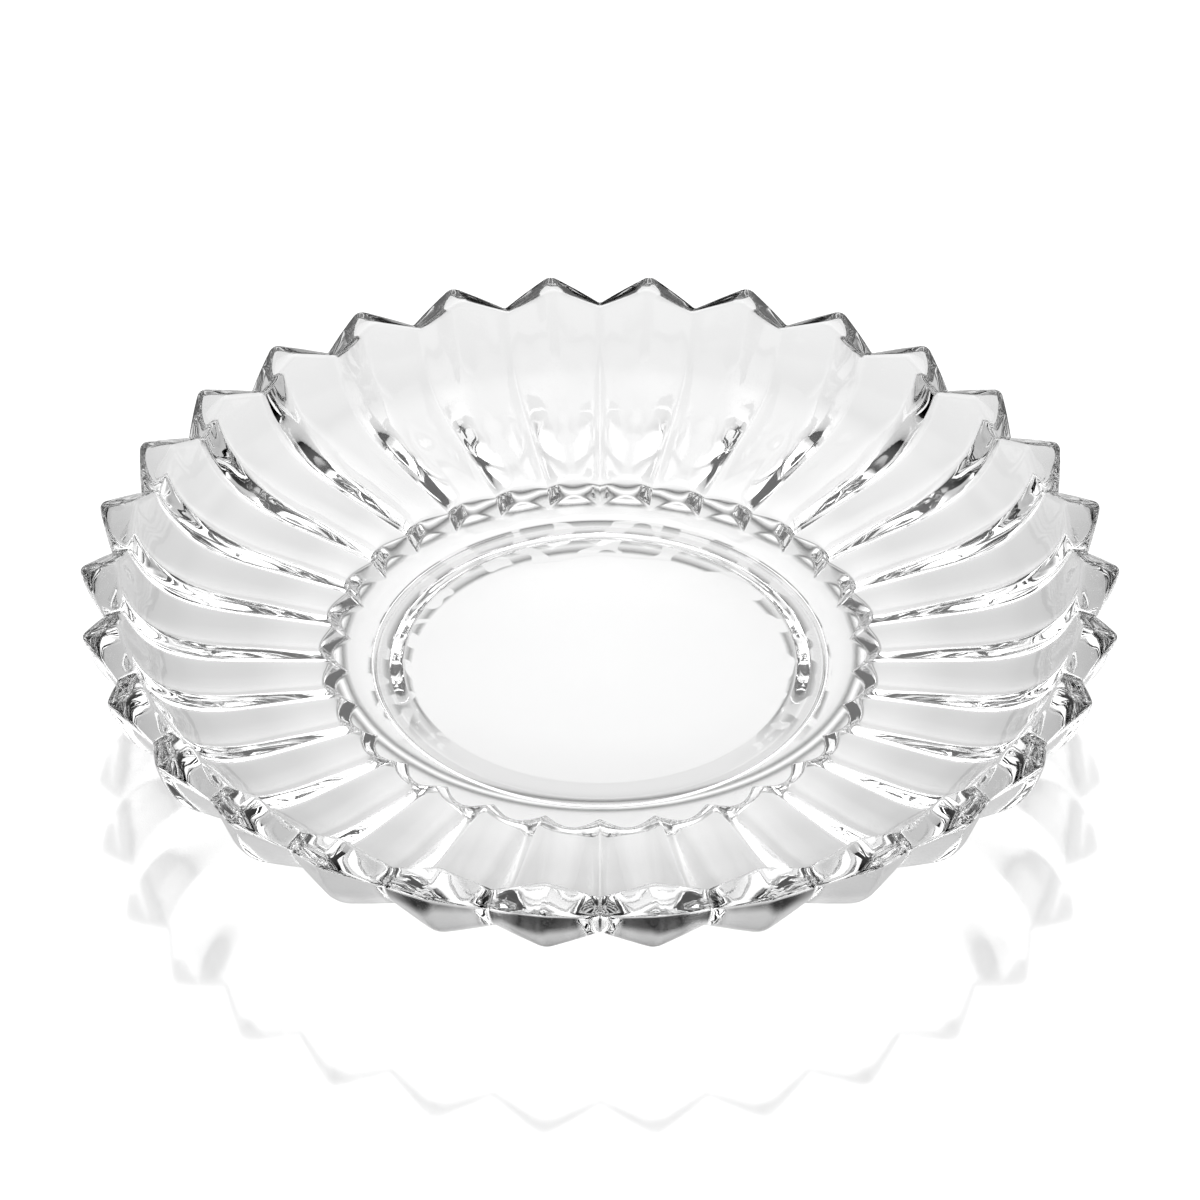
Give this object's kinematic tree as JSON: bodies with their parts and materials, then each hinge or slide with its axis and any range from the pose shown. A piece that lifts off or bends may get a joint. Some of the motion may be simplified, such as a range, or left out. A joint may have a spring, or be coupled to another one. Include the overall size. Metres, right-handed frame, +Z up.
{
  "type": "serving plate",
  "caption": "Round clear crystal serving plate with a smooth shallow dish, V-fluted ribs on the underside, a serrated rim and a ring foot.",
  "frame": {"origin": "centre of the foot ring, on the table", "axes": "+Z up along the plate's axis; +X through the crest of a rib and its tooth on the rim"},
  "size_m": [0.32, 0.3182, 0.0457],
  "materials": {
    "clear_glass": "polished"
  },
  "bodies": {
    "root": {"plate": "clear_glass"}
  },
  "joints": []
}
